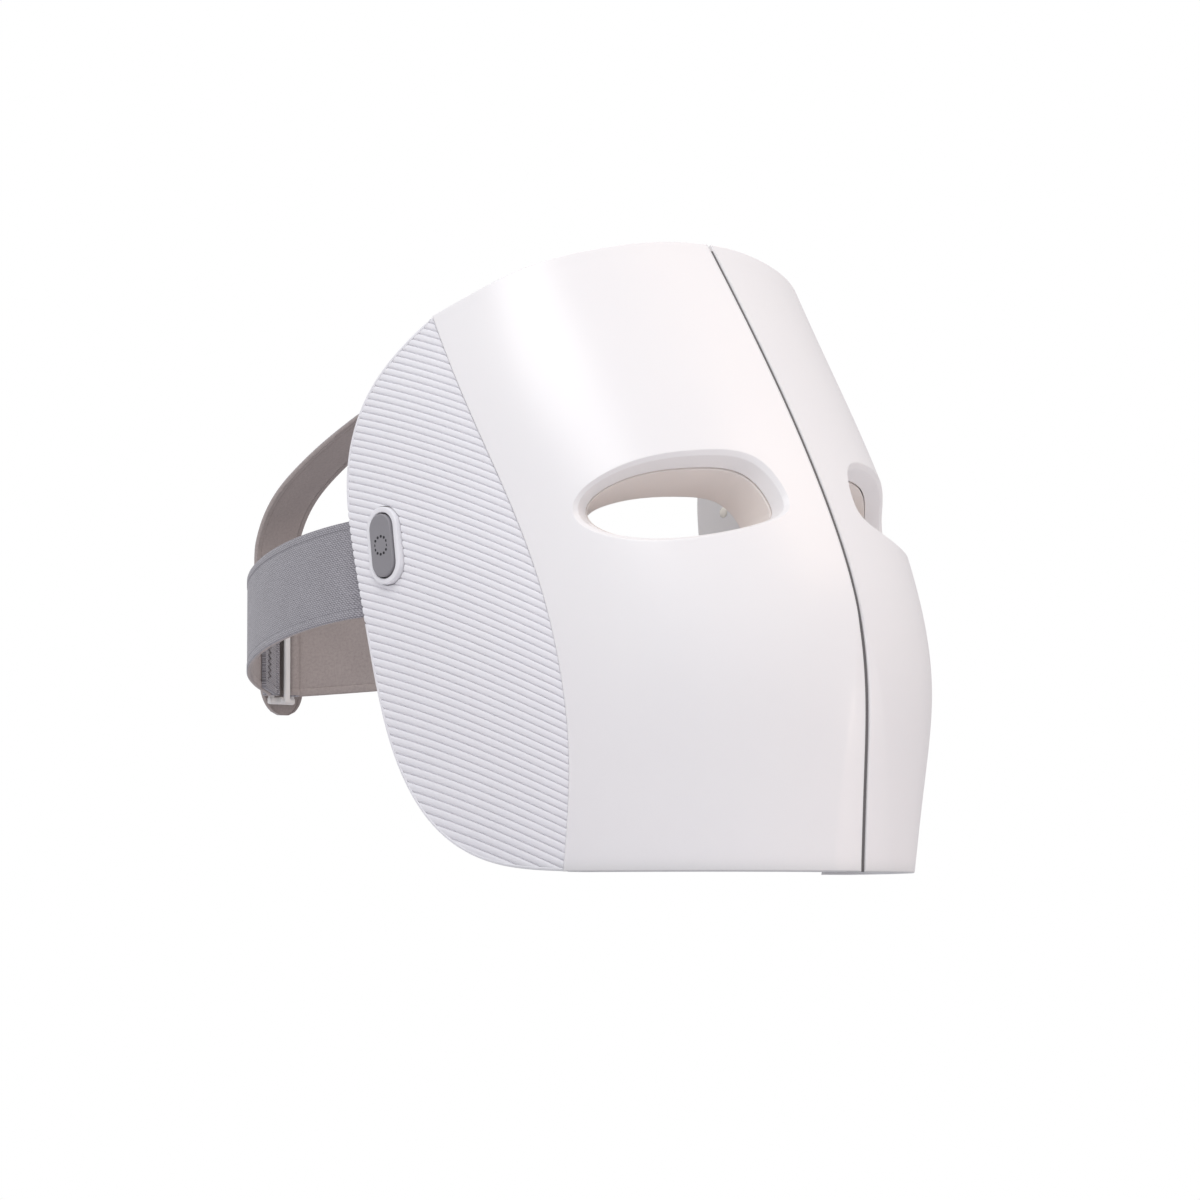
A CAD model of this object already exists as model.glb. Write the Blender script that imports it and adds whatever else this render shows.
import math

import bpy
import numpy as np
from mathutils import Matrix, Vector


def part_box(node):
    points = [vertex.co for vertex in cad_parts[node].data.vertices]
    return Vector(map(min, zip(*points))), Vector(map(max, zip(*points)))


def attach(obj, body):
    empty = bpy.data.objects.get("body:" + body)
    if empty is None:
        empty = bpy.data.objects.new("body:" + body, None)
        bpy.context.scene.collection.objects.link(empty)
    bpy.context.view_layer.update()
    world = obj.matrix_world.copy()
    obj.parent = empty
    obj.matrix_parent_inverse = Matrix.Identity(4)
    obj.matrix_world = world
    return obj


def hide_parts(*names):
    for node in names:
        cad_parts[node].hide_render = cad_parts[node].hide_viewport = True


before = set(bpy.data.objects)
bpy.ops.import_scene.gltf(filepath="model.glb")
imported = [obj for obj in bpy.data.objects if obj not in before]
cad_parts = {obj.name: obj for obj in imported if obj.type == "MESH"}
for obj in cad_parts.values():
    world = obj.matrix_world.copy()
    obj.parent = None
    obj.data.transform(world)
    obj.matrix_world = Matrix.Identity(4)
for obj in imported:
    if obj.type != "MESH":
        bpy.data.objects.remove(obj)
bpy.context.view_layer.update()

# A light therapy face mask. Each section is one piece or group of like pieces, in the order in
# which the mask is put together. Shapes are worked out in millimetres and made in metres. X runs
# to the wearer's left, -Y is the front and Z is up. Left pieces are mirrored to the right.

# The studio
# A plain pale floor, seen from above only because the photograph looks up slightly from under
# the mask's lower edge. It fades into the white backdrop, and lets light through to what lies on
# it. Soft light comes from a pale room, three large lamps and a small low one at the front.
mm = 0.001


def linear(hex_colour):
    """A linear colour from its sRGB hex value."""
    parts = [int(hex_colour[i : i + 2], 16) / 255 for i in (1, 3, 5)]
    return (*[p / 12.92 if p <= 0.04045 else ((p + 0.055) / 1.055) ** 2.4 for p in parts], 1)


def fill(tree, node, inputs):
    """Sets a node's inputs, each to a value, a socket, or the first socket of another node."""
    for name, value in inputs.items():
        if isinstance(value, bpy.types.Node):
            value = value.outputs[0]
        if isinstance(value, bpy.types.NodeSocket):
            tree.links.new(value, node.inputs[name])
        else:
            node.inputs[name].default_value = value


def add_node(tree, kind, inputs=None, **settings):
    """One node with its settings and its inputs."""
    made = tree.nodes.new(kind)
    for name, value in settings.items():
        setattr(made, name, value)
    fill(tree, made, inputs or {})
    return made


def maths(tree, operation, *values):
    """A maths node that works on these values."""
    return add_node(tree, "ShaderNodeMath", dict(enumerate(values)), operation=operation)


def noise(tree, place, size, detail, roughness=0.5):
    """A noise pattern whose spots are about this size in millimetres."""
    inputs = {"Scale": 1 / (size * mm), "Detail": detail, "Roughness": roughness}
    return add_node(tree, "ShaderNodeTexNoise", {"Vector": place, **inputs})


def put(name, data):
    """A new object in the scene."""
    made = bpy.data.objects.new(name, data)
    bpy.context.scene.collection.objects.link(made)
    return made


def look(thing, place, aim):
    """Sets a camera or a lamp at its place, turned towards its aim."""
    thing.location = place
    thing.rotation_euler = (Vector(aim) - thing.location).to_track_quat("-Z", "Y").to_euler()


camera_place, camera_aim = (-1.1965, -1.1852, -0.0173), (-0.0236, -0.0435, 0.0896)
camera_data = bpy.data.cameras.new("camera")
camera_data.lens = 150
camera_data.sensor_width = 36
camera = put("camera", camera_data)
look(camera, camera_place, camera_aim)
bpy.context.scene.camera = camera

room = bpy.data.worlds.new("pale_room")
bpy.context.scene.world = room
room.use_nodes = True
tree = room.node_tree
tree.nodes.clear()
seen = add_node(tree, "ShaderNodeLightPath").outputs["Is Camera Ray"]
backdrop = add_node(tree, "ShaderNodeBackground", {"Color": (1, 1, 1, 1), "Strength": 1.0})
direction = add_node(tree, "ShaderNodeTexCoord").outputs["Generated"]
height = add_node(tree, "ShaderNodeSeparateXYZ", {"Vector": direction}).outputs["Z"]
glow = add_node(tree, "ShaderNodeMapRange", {"Value": height, "To Min": 0.49, "To Max": 0.92})
ambient = add_node(tree, "ShaderNodeBackground", {"Color": linear("#fbfbff"), "Strength": glow})
mixed = add_node(tree, "ShaderNodeMixShader", {0: seen, 1: ambient, 2: backdrop})
add_node(tree, "ShaderNodeOutputWorld", {"Surface": mixed})

floor_mesh = bpy.data.meshes.new("floor")
floor_reach, contact_reach = 4.0, 5 * mm
corners = [(x * floor_reach, y * floor_reach, 0) for x, y in ((-1, -1), (1, -1), (1, 1), (-1, 1))]
floor_mesh.from_pydata(corners, [], [(0, 1, 2, 3)])
floor_paint = bpy.data.materials.new("matt_white_floor_seen_from_above")
floor_paint.use_nodes = True
tree = floor_paint.node_tree
tree.nodes.clear()
matt = add_node(tree, "ShaderNodeBsdfDiffuse", {"Color": linear("#d8d7da")})
clear = add_node(tree, "ShaderNodeBsdfTransparent")
from_below = add_node(tree, "ShaderNodeNewGeometry").outputs["Backfacing"]
place = add_node(tree, "ShaderNodeTexCoord").outputs["Object"]
away = add_node(tree, "ShaderNodeVectorMath", {0: place}, operation="LENGTH").outputs["Value"]
fade = add_node(
    tree,
    "ShaderNodeMapRange",
    {"Value": away, "From Min": 0.35, "From Max": 1.5},
    interpolation_type="SMOOTHSTEP",
)
gone = add_node(tree, "ShaderNodeLightPath").outputs["Ray Length"]
touching = maths(tree, "LESS_THAN", gone, contact_reach)
passed = maths(tree, "MAXIMUM", from_below, touching)
unseen = maths(tree, "MAXIMUM", passed, fade)
one_sided = add_node(tree, "ShaderNodeMixShader", {0: unseen, 1: matt, 2: clear})
add_node(tree, "ShaderNodeOutputMaterial", {"Surface": one_sided})
floor_mesh.materials.append(floor_paint)
put("floor", floor_mesh)

mask_middle = (0, -0.06, 0.12)
for name, place, aim, width, power, colour in (
    ("key_lamp", (-1.0, -0.6, 1.35), mask_middle, 0.9, 10.0, "#ffffff"),
    ("warm_lamp", (0.9, -1.1, 1.3), mask_middle, 0.8, 3.9, "#ffe2cc"),
    ("low_lamp", (1.0, -1.37, 0.1), (0, -0.13, 0.05), 0.25, 1.5, "#fff0e6"),
    ("rim_lamp", (1.0, 0.9, 0.9), mask_middle, 0.8, 2.2, "#fff4ea"),
):
    lamp_data = bpy.data.lights.new(name, "AREA")
    lamp_data.shape, lamp_data.size, lamp_data.energy = "SQUARE", width, power
    lamp_data.color = linear(colour)[:3]
    look(put(name, lamp_data), place, aim)

bpy.context.scene.view_settings.view_transform = "Standard"

# The front shells
# Two white ABS mouldings, left and right of the centre spine, 2.4 mm thick, with rounded edges,
# an opening for the eye with a rolled lip and a deep wall, and a flange along the top that
# reaches in to the liner. They are screwed from inside.
clearance = 0.3
skin_height = 210
skin_depth = 146.4
skin_front_y = -139.9
skin_rear_y = skin_front_y + skin_depth
half_width = 92
centre_blend = 0.06
facet_height = 90
facet_half_width = 12.7
facet_least_half_width = 1.6
facet_power = 1.6
facet_degrees = 7
shell_wall, shell_edge_radius = 2.4, 0.55
rim_wall = 1.8
seam_half_width = 0.92
liner_depth = 14


def spline(values):
    """A draughtsman's curve through equally spaced values, read at a share from 0 to 1."""
    values = np.array(values, float)
    last = len(values) - 1
    system, loads = np.eye(last + 1), np.zeros(last + 1)
    for i in range(1, last):
        system[i, i - 1 : i + 2] = 1, 4, 1
        loads[i] = 6 * (values[i + 1] - 2 * values[i] + values[i - 1])
    bends = np.linalg.solve(system, loads)

    def at(share):
        place = np.asarray(share, float) * last
        i = np.clip(np.floor(place).astype(int), 0, last - 1)
        after = place - i
        before = 1 - after
        bow = (before**3 - before) * bends[i] + (after**3 - after) * bends[i + 1]
        return before * values[i] + after * values[i + 1] + bow / 6

    return at


setback_share = spline([0.007, 0, 0, 0.039, 0.123, 0.231, 0.354, 0.486])
width_share = spline([0.859, 0.913, 0.957, 0.989, 1, 0.978, 0.913, 0.826])
front_share = spline([0.674, 0.707, 0.728, 0.663, 0.598, 0.516, 0.446, 0.413])
rear_share = spline([0.615, 0.669, 0.697, 0.676, 0.635, 0.567, 0.485, 0.41])
sweep_degrees = spline([7, 7, 6, 5, 5.5, 7, 8, 8])
flare_degrees = spline([3, 2, 1, 0, 0, -2, -5, -8])
top_edge_share = spline([0.985, 0.982, 0.961, 0.924, 0.856])
rear_edge_y_share = spline([0.784, 0.936, 0.997, 0.977, 0.944, 0.901, 0.802, 0.645, 0.465])
rear_edge_z_share = spline([0.856, 0.755, 0.629, 0.495, 0.36, 0.195, 0.071, 0.013, 0])
border_y_share = spline([0.465, 0.41, 0.458, 0.604, 0.784])
corner_z = skin_height * 0.856


def facet_half(z):
    return facet_half_width * (1 - np.clip(z / facet_height, 0, 1) ** facet_power)


def skin(along, z):
    """The outer skin, at a share from the centre line, 0, round to the rear, 1."""
    along, z = np.broadcast_arrays(np.asarray(along, float), np.asarray(z, float))
    share = z / skin_height
    front = skin_front_y + skin_depth * setback_share(share)
    handle = half_width * front_share(share)
    swept = front + handle * np.tan(np.radians(sweep_degrees(share)))
    rear_handle = skin_depth * rear_share(share)
    width = half_width * width_share(share)
    flared = width - rear_handle * np.tan(np.radians(flare_degrees(share)))
    left = 1 - along
    second, third, fourth = 3 * along * left**2, 3 * along**2 * left, along**3
    x = second * handle + third * flared + fourth * width
    y = left**3 * front + second * swept + fourth * skin_rear_y
    y += third * (skin_rear_y - rear_handle)
    facet = np.maximum(0, facet_half(z) - x) * math.tan(math.radians(facet_degrees))
    return np.stack([x, y + facet, z], axis=-1)


def unit(vectors):
    return vectors / np.maximum(np.linalg.norm(vectors, axis=-1, keepdims=True), 1e-9)


def full_turn(steps):
    """Evenly spaced angles once round."""
    return np.linspace(0, 2 * math.pi, steps, endpoint=False)


def disc_across(axis, hint, steps):
    """A circle of radius one square to an axis. It starts at right angles to the hint."""
    turns, first = full_turn(steps)[:, None], unit(np.cross(axis, hint))
    return first * np.cos(turns) + np.cross(axis, first) * np.sin(turns)


def skin_normal(along, z):
    """The skin's outward direction, evened out towards the centre line."""
    along, z = np.broadcast_arrays(np.asarray(along, float), np.asarray(z, float))
    step = 0.01
    rise = step * skin_height
    across = skin(along + step, z) - skin(np.maximum(0, along - step), z)
    up = skin(along, z + rise) - skin(along, z - rise)
    normal = np.cross(across, up)
    normal[..., 0] *= np.minimum(1, along / centre_blend)
    return unit(normal)


def below(along, z, depth):
    """A place under the skin. A negative share lies on the right half."""
    side, place = np.where(np.asarray(along) < 0, -1, 1), np.abs(along)
    point = skin(place, z) - skin_normal(place, z) * np.asarray(depth, float)[..., None]
    point[..., 0] *= side
    return point


def along_at(axis, wanted, z, high=1.0, halvings=34):
    """The share at which the skin reaches an x, axis 0, or a y, axis 1."""
    wanted, z = np.broadcast_arrays(np.asarray(wanted, float), np.asarray(z, float))
    low, high = np.zeros_like(z), np.full_like(z, high)
    for _ in range(halvings):
        middle = (low + high) / 2
        short = skin(middle, z)[..., axis] < wanted
        low, high = np.where(short, middle, low), np.where(short, high, middle)
    return (low + high) / 2


def by_side(y, z, depth):
    """A place under the skin of the left side, found from its y."""
    return below(along_at(1, y, z), z, depth)


def border_y(z):
    """Where the front shell ends and the ribs begin."""
    return skin_front_y + skin_depth * border_y_share(z / corner_z)


def grid_faces(rows, columns, keep=lambda row, column: True):
    """The faces of a grid of points, row by row, where keep says so."""
    cells = [(row, column) for row in range(rows) for column in range(columns) if keep(row, column)]
    starts = [row * (columns + 1) + column for row, column in cells]
    return [(at, at + 1, at + columns + 2, at + columns + 1) for at in starts]


def edge_loops(faces):
    """The open borders of a sheet of faces, each as a closed run of point numbers."""
    edges = {(a, b): True for face in faces for a, b in zip(face, face[1:] + face[:1])}
    following = {a: b for a, b in edges if (b, a) not in edges}
    loops = []
    while following:
        start = next(iter(following))
        loop = [start]
        while (after := following.pop(loop[-1])) != start:
            loop.append(after)
        loops.append(loop)
    return loops


def moulded_wall(points, normals, faces, thickness, radius, lips=(), rounding=4):
    """A closed wall under a sheet of faces, with rounded edges. Each of lips is a point number on
    a border and the rule that gives that border's own rings from the outer to the inner face."""
    points, thickness = points.copy(), np.broadcast_to(thickness, len(points))
    count = len(points)
    inner = points - normals * thickness[:, None]
    quarter = np.arange(1, rounding + 1) / rounding * math.pi / 2
    bends = list(zip(radius * (1 - np.sin(quarter)), radius * (1 - np.cos(quarter))))
    made, more, total = [], [], 2 * count
    for loop in edge_loops(faces):
        ids = np.array(loop)
        rule = next((rule for start, rule in lips if start in loop), None)
        if rule:
            rings = rule(ids)
        else:
            at, up, deep = points[ids], normals[ids], thickness[ids][:, None]
            out = unit(np.cross(np.roll(at, -1, 0) - np.roll(at, 1, 0), up))
            points[ids] = at - out * radius
            inner[ids] = at - out * radius - up * deep
            rings = [at - out * drawn - up * sunk for drawn, sunk in bends]
            rings += [at - out * drawn - up * (deep - sunk) for drawn, sunk in bends[::-1]]
        strips = [ids, *(total + len(ids) * k + np.arange(len(ids)) for k in range(len(rings)))]
        strips.append(ids + count)
        total += len(ids) * len(rings)
        more += rings
        for here, there in zip(strips, strips[1:]):
            for i in range(len(ids)):
                after = (i + 1) % len(ids)
                made.append((here[after], here[i], there[i], there[after]))
    inner_faces = [tuple(count + v for v in face[::-1]) for face in faces]
    return np.vstack([points, inner, *more]), [*faces, *inner_faces, *made]


def loft(sections, closed=False):
    """A solid through sections of equal counts, capped at its ends unless it closes on itself."""
    sections = np.asarray(sections, float)
    many, count = sections.shape[:2]
    faces = []
    for ring in range(many if closed else many - 1):
        here, ahead = ring * count, (ring + 1) % many * count
        for i in range(count):
            after = (i + 1) % count
            faces.append((here + i, here + after, ahead + after, ahead + i))
    if not closed:
        faces += [tuple(range(count))[::-1], tuple((many - 1) * count + i for i in range(count))]
    return facing_out(sections.reshape(-1, 3), faces)


def facing_out(points, faces):
    """The same closed shape with its faces turned to point outwards."""
    swept = 0
    for face in faces:
        for i in range(1, len(face) - 1):
            swept += points[face[0]] @ np.cross(points[face[i]], points[face[i + 1]])
    return points, [face[::-1] for face in faces] if swept < 0 else faces


def mirrored(shape):
    """The same shape on the other side of the centre line."""
    points, faces = shape
    return points * (-1, 1, 1), [face[::-1] for face in faces]


def weigh_normals(mesh, crease):
    """Shades each corner by the faces round its point, the large ones most, so that the narrow
    faces of a rounded edge don't soften the broad ones beside it."""
    mesh.shade_smooth()
    corners, faces = len(mesh.loops), len(mesh.polygons)
    point_of, normal, area = np.zeros(corners, int), np.zeros(3 * faces), np.zeros(faces)
    mesh.loops.foreach_get("vertex_index", point_of)
    mesh.polygons.foreach_get("normal", normal)
    mesh.polygons.foreach_get("area", area)
    sizes = np.zeros(faces, int)
    mesh.polygons.foreach_get("loop_total", sizes)
    face_of = np.repeat(np.arange(faces), sizes)
    order = np.argsort(point_of, kind="stable")
    at, normal = point_of[order], normal.reshape(-1, 3)[face_of[order]]
    weight = normal * area[face_of[order]][:, None]
    total, nearness = weight.copy(), math.cos(math.radians(crease))
    for step in range(1, 9):
        near = (at[step:] == at[:-step]) & ((normal[step:] * normal[:-step]).sum(axis=1) > nearness)
        total[step:][near] += weight[:-step][near]
        total[:-step][near] += weight[step:][near]
    shaded = np.zeros_like(total)
    shaded[order] = unit(total / np.maximum(np.abs(total).max(axis=1), 1e-20)[:, None])
    mesh.normals_split_custom_set(shaded.tolist())


def new_piece(name, shapes, finish, stands_for=(), body="mask", crease=38):
    points, faces, start = [], [], 0
    for shape_points, shape_faces in shapes:
        points.append(shape_points)
        faces += [[start + v for v in face] for face in shape_faces]
        start += len(shape_points)
    mesh = bpy.data.meshes.new(name)
    mesh.from_pydata((np.vstack(points) * mm).tolist(), [], faces)
    weigh_normals(mesh, crease)
    mesh.materials.append(finish)
    return settle(put(name, mesh), stands_for, body)


def new_pair(name, shapes, finish, node):
    """The left piece and its mirror image on the right."""
    for side in ("left", "right"):
        new_piece(f"{name}_{side}", shapes, finish, [f"{node}_{side}"])
        shapes = [mirrored(shape) for shape in shapes]


def settle(piece, stands_for=(), body="mask"):
    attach(piece, body)
    if stands_for:
        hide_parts(*stands_for)
    return piece


def closed_spline(values):
    """A curve that runs on from its last value to its first, read at a share of the turn."""
    margin = 3
    curve = spline([*values[-margin:], *values, *values[: margin + 1]])
    return lambda turn: curve((margin + turn * len(values)) / (len(values) + 2 * margin))


eye_along, eye_half_along = 0.34, 0.24
eye_z, eye_half_height, eye_half_length = skin_height * 0.565, 15.4, 35
eye_across = closed_spline([-1, -0.8, -0.25, 0.4, 0.93, 0.98, 0.52, -0.17, -0.83])
eye_up = closed_spline([0.1, 0.88, 1, 0.74, 0.1, -0.6, -0.95, -0.83, -0.42])
eye_wall_inset, eye_wall_depth = 2.6, 7


def eye_place(turn, inset=0):
    """A place on the outline of the eye opening, drawn in by an inset."""
    across = eye_across(turn) * (1 - inset / eye_half_length)
    up = eye_up(turn) * (1 - inset / eye_half_height)
    return eye_along + eye_half_along * across, eye_z + eye_half_height * up


def eye_points(turn, inset, depth):
    return below(*eye_place(turn, inset), depth)


def eye_turn_towards(along, z, steps=1440):
    """The turn at which the eye's outline lies towards a place."""
    turns = np.arange(steps) / steps
    looked = np.arctan2(eye_up(turns), eye_across(turns))
    wanted = np.arctan2((z - eye_z) / eye_half_height, (along - eye_along) / eye_half_along)
    miss = looked[None, :] - wanted[:, None]
    return turns[np.abs(np.arctan2(np.sin(miss), np.cos(miss))).argmin(axis=1)]


def front_shell():
    """The left shell's wall, as a grid with a block left out round the eye, and its top flange."""
    fine = 6
    facet_columns, plan_columns, plan_rows, eye_rings = 5, 12, 16, 14
    block_rows, block_columns = (7, 12), (1, 11)
    last_column, last_row = facet_columns + plan_columns * fine, plan_rows * fine
    columns = np.arange(last_column + 1)
    in_facet = columns <= facet_columns
    place = np.where(in_facet, columns / facet_columns, 1 + (columns - facet_columns) / fine)
    top = skin_height * top_edge_share(place / (plan_columns + 1))
    z = np.outer(np.arange(last_row + 1) / last_row, top)
    level = corner_z * z / top
    seam = along_at(0, seam_half_width, z, eye_along)
    facet = along_at(0, np.maximum(facet_half(z), facet_least_half_width), z, eye_along)
    border = along_at(1, border_y(level), level)
    along = np.where(
        place <= 1,
        seam + (facet - seam) * place,
        facet + (border - facet) * (place - 1) / plan_columns,
    )
    first_row, end_row = (row * fine for row in block_rows)
    first_column, end_column = (facet_columns + column * fine for column in block_columns)
    in_block = lambda row, column: (
        first_row <= row < end_row and first_column <= column < end_column
    )
    faces = grid_faces(last_row, last_column, lambda row, column: not in_block(row, column))
    number = np.arange((last_row + 1) * (last_column + 1)).reshape(last_row + 1, -1)
    block = [
        *number[first_row, first_column:end_column], *number[first_row:end_row, end_column],
        *number[end_row, end_column:first_column:-1], *number[end_row:first_row:-1, first_column],
    ]
    along, z = along.ravel(), z.ravel()
    start_along, start_z = along[block], z[block]
    turns = eye_turn_towards(start_along, start_z)
    edge_along, edge_z = eye_place(turns)
    ring_before = np.array(block)
    for share in [*np.arange(1, eye_rings) / eye_rings, 0.98, 1]:
        ring_here = len(along) + np.arange(len(block))
        along = np.append(along, start_along + (edge_along - start_along) * share)
        z = np.append(z, start_z + (edge_z - start_z) * share)
        for i in range(len(block)):
            after = (i + 1) % len(block)
            faces.append((ring_before[i], ring_before[after], ring_here[after], ring_here[i]))
        ring_before = ring_here
    opening = {int(v): turn for v, turn in zip(ring_before, turns)}

    def eye_lip(ids):
        around = np.array([opening[int(v)] for v in ids])
        profile = [
            (0.12, 0.08), (0.26, 0.22), (1.15, 1.25), (1.28, 1.42), (1.35, 1.62), (1.5, 2.3),
            (2.1, 5.0), (2.42, 6.5), (2.44, 6.8), (2.3, 6.95), (2.0, 7.0), (0.85, 7.0),
            (0.75, 6.85), (0.4, 5.2), (-0.05, 4.0), (-0.1, 3.2),
        ]
        return [eye_points(around, inset, depth) for inset, depth in profile]

    lips = [(int(ring_before[0]), eye_lip)]
    sheet = (skin(along, z), skin_normal(along, z), faces)
    wall = moulded_wall(*sheet, shell_wall, shell_edge_radius, lips)
    edge = number[last_row]
    foot, rounding = liner_depth - clearance, 0.3
    root, bend = shell_wall - 0.6, foot - 0.4
    flange_profile = (
        (0, root), (0, bend), (rounding, foot),
        (rim_wall - rounding, foot), (rim_wall, bend), (rim_wall, root),
    )
    flange = [below(along[edge], z[edge] - drop, depth) for drop, depth in flange_profile]
    shapes = [wall, loft(np.stack(flange, axis=1))]
    for points, _ in shapes:
        points[:, 2] = np.maximum(points[:, 2], 0)
    return shapes


def new_finish(name):
    """A new material, with its tree and its shader."""
    finish = bpy.data.materials.new(name)
    finish.use_nodes = True
    return finish, finish.node_tree, finish.node_tree.nodes["Principled BSDF"]


# ABS, injection moulded in a fine spark-eroded tool: satin white, with a faint grain of about
# 0.15 mm that is drawn at 0.45 mm so that it shows, and very slight clouding of the gloss.
def moulded_abs(name, colour, shade, roughness, grain=0.45, bump=0.02, glow=0.04):
    finish, tree, shader = new_finish(name)
    place = add_node(tree, "ShaderNodeTexCoord").outputs["Object"]
    cloud = noise(tree, place, size=38, detail=3.0)
    colours = {0: cloud, 6: linear(colour), 7: linear(shade)}
    tint = add_node(tree, "ShaderNodeMix", colours, data_type="RGBA")
    spread = {"Value": cloud, "To Min": roughness - 0.03, "To Max": roughness + 0.03}
    gloss = add_node(tree, "ShaderNodeMapRange", spread)
    sparks = noise(tree, place, size=grain, detail=2.0)
    relief = {"Height": sparks, "Strength": bump, "Distance": 0.1 * mm}
    raised = add_node(tree, "ShaderNodeBump", relief)
    fill(
        tree,
        shader,
        {
            "Base Color": tint.outputs[2], "Roughness": gloss, "Normal": raised, "IOR": 1.53,
            "Subsurface Weight": glow, "Subsurface Radius": (1, 0.9, 0.85),
            "Subsurface Scale": 1.5 * mm,
        },
    )
    return finish


shell_abs = moulded_abs("satin_white_abs_shell", "#f4f2f2", "#f1eff0", 0.3)
new_pair("shell", front_shell(), shell_abs, "front_shell")

# The centre spine
# A thin dark grey ABS strip that fills the seam between the shells, set back from their skin,
# moulded in one with the flange that joins the shells from behind.
spine_top_share, web_gap, flange_reach, flange_wall = 0.985, 0.14, 4.5, 1.5


def centre_spine(rows=160):
    z = np.linspace(0, skin_height * spine_top_share - rim_wall - clearance, rows)
    web, reach = seam_half_width - web_gap, flange_reach
    flange = shell_wall + clearance
    back = flange + flange_wall
    top_half, top_depth, edge_depth = web * 0.8, 0.56, 0.7
    places = (
        (-1, top_half, top_depth), (1, top_half, top_depth), (1, web, edge_depth), (1, web, flange),
        (1, reach, flange), (1, reach, back), (-1, reach, back), (-1, reach, flange),
        (-1, web, flange), (-1, web, edge_depth),
    )
    sections = [
        below(along_at(0, half, z, eye_along), z, depth) * (side, 1, 1)
        for side, half, depth in places
    ]
    sections = np.stack(sections, axis=1)
    sections[0, :, 2] = 0
    return loft(sections)


spine_abs = moulded_abs("dark_grey_abs_spine", "#636163", "#595759", 0.42)
new_piece("spine", [centre_spine()], spine_abs, ["centre_spine"])

# The ribbed side panels
# A white ABS moulding each side, set 0.8 mm under the shell's skin and covered with rounded ribs
# that run down to the front, with a rim round its rear and lower edges that meets the liner.
panel_setback, panel_wall, panel_edge_radius = 0.8, 2.2, 0.22
rib_count, rib_height, rib_pitch_ratio = 68, 0.7, 0.76
rib_slope, rib_origin_y, rib_straight = 0.43, -69.5, 137


def rib_rise(y):
    """How far a rib has risen at a y. It rises from the front and levels off."""
    back = y - rib_origin_y
    return rib_slope * back * (1 - back / (2 * rib_straight))


def rear_edge(share):
    """The y and z of the panel's rear and lower edge, from its top, 0, to its front foot, 1."""
    y = skin_front_y + skin_depth * rear_edge_y_share(share)
    return y, skin_height * np.maximum(0, rear_edge_z_share(share))


def side_panel():
    """The ribbed wall, in rows that follow the ribs from their front to their rear ends."""
    samples, columns = 1600, 34
    edge_y, edge_z = rear_edge(np.linspace(0, 1, samples + 1))
    front_z = np.linspace(0, corner_z, samples + 1)[1:-1]
    outline_y = np.concatenate([edge_y, border_y(front_z) + clearance])
    outline_z = np.concatenate([edge_z, front_z])
    levels = outline_z - rib_rise(outline_y)
    lowest, highest = levels.min(), levels.max()
    within_rib = np.array([0, 0.035, 0.08, 0.14, 0.25, 0.42, 0.58, 0.75, 0.86, 0.92, 0.965])
    ribs = (np.arange(rib_count)[:, None] + within_rib).ravel()
    ribs = np.clip(np.append(ribs, rib_count), 0.08, rib_count - 0.08)
    crown = 1 - np.abs(2 * (ribs % 1) - 1) ** 4
    climbed = (1 - rib_pitch_ratio ** (ribs / rib_count)) / (1 - rib_pitch_ratio)
    level = lowest + (highest - lowest) * climbed
    after_levels, after_y = np.roll(levels, -1), np.roll(outline_y, -1)
    front, rear = [], []
    for wanted in level:
        crossed = np.nonzero((levels < wanted) != (after_levels < wanted))[0]
        share = (levels[crossed] - wanted) / (levels[crossed] - after_levels[crossed])
        ends = outline_y[crossed] + (after_y[crossed] - outline_y[crossed]) * share
        front.append(ends.min())
        rear.append(ends.max())
    front, rear = np.array(front)[:, None], np.array(rear)[:, None]
    y = front + (rear - front) * np.linspace(0, 1, columns + 1)
    z = np.maximum(0, level[:, None] + rib_rise(y))
    depth = np.broadcast_to(panel_setback + rib_height * (1 - crown[:, None]), y.shape)
    along = along_at(1, y, z).ravel()
    z, depth = z.ravel(), depth.ravel()
    sheet = (below(along, z, depth), skin_normal(along, z), grid_faces(len(level) - 1, columns))
    walls = panel_setback + panel_wall - depth
    return moulded_wall(*sheet, walls, panel_edge_radius, rounding=3)


def panel_rim(first, last, rows=90, step=0.004):
    """The smooth rim between two shares of the way down the rear edge and along the foot."""
    shares = np.linspace(first, last, rows)

    def outline(share):
        y, z = rear_edge(share)
        return np.stack([np.maximum(y, border_y(z) + clearance), z], axis=-1)

    run = unit(outline(shares - step) - outline(shares + step))
    inwards = np.stack([-run[:, 1], run[:, 0]], axis=-1)
    foot = liner_depth - clearance
    profile = (
        (0.0, 0.95), (0.0, foot - 0.5), (0.5, foot), (rim_wall, foot), (rim_wall, 2.6),
        (1.0, 1.7), (0.95, 0.85), (0.8, 0.68), (0.25, 0.7),
    )
    sections = [by_side(*(outline(shares) + inwards * inset).T, depth) for inset, depth in profile]
    sections = np.stack(sections, axis=1)
    sections[..., 2] = np.maximum(sections[..., 2], 0)
    return loft(sections)


strap_width, anchor_lug, strap_start_z = 32.2, 2.2, skin_height * 0.4738
slot_half = strap_width / 2 + anchor_lug + 2 * clearance
edge_shares = np.linspace(0.05, 0.95, 900)
edge_heights = rear_edge(edge_shares)[1]
slot_top = edge_shares[np.argmin(np.abs(edge_heights - strap_start_z - slot_half))]
slot_foot = edge_shares[np.argmin(np.abs(edge_heights - strap_start_z + slot_half))]
button_y, button_z = skin_rear_y - 18.4, skin_height * 0.5024
button_width, button_height, button_proud, button_lean = 9.9, 20.7, 0.9, 7.5
ring_width, ring_height, ring_proud, ring_thickness = 14.2, 25.4, 0.5, 4
ring_face_x = by_side(button_y, button_z, 0)[0] + ring_proud


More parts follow.
